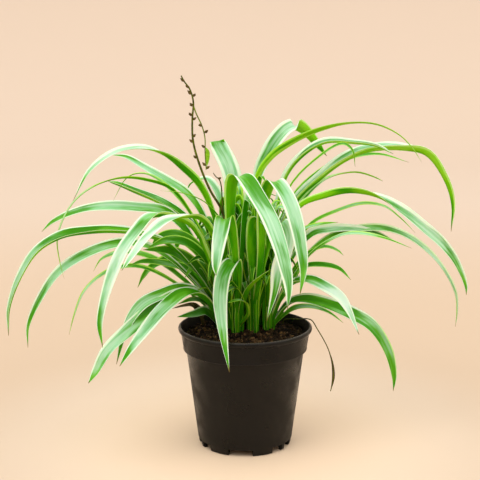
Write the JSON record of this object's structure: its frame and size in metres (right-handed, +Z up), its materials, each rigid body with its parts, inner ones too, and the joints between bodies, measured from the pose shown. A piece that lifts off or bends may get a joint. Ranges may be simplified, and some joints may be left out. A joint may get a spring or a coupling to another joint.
{
  "type": "potted spider plant",
  "caption": "Potted spider plant: long striped strap leaves arching from a crowded clump, with a thin budded flower stalk, in a tapered nursery pot with a stepped collar.",
  "frame": {"origin": "on the pot's axis at the floor, which is also the middle of the plant's box seen from above", "axes": "+Z up, -Y towards the viewer of the picture, +X to the viewer's right, along the plant's widest spread"},
  "size_m": [0.4379, 0.2602, 0.3574],
  "materials": {
    "plastic": "satin",
    "soil": "matte",
    "leaf": "satin",
    "stalk": "matte",
    "dry": "matte"
  },
  "bodies": {
    "root": {"pot": "plastic", "soil": "soil", "rosette_left": "leaf", "rosette_front": "leaf", "rosette_front_right": "leaf", "rosette_right": "leaf", "rosette_back_left": "leaf", "rosette_back": "leaf", "rosette_back_right": "leaf", "flower_stalk": "stalk", "short_stalk": "dry", "dead_leaf_right": "dry", "dead_leaf_left": "dry"}
  },
  "joints": []
}
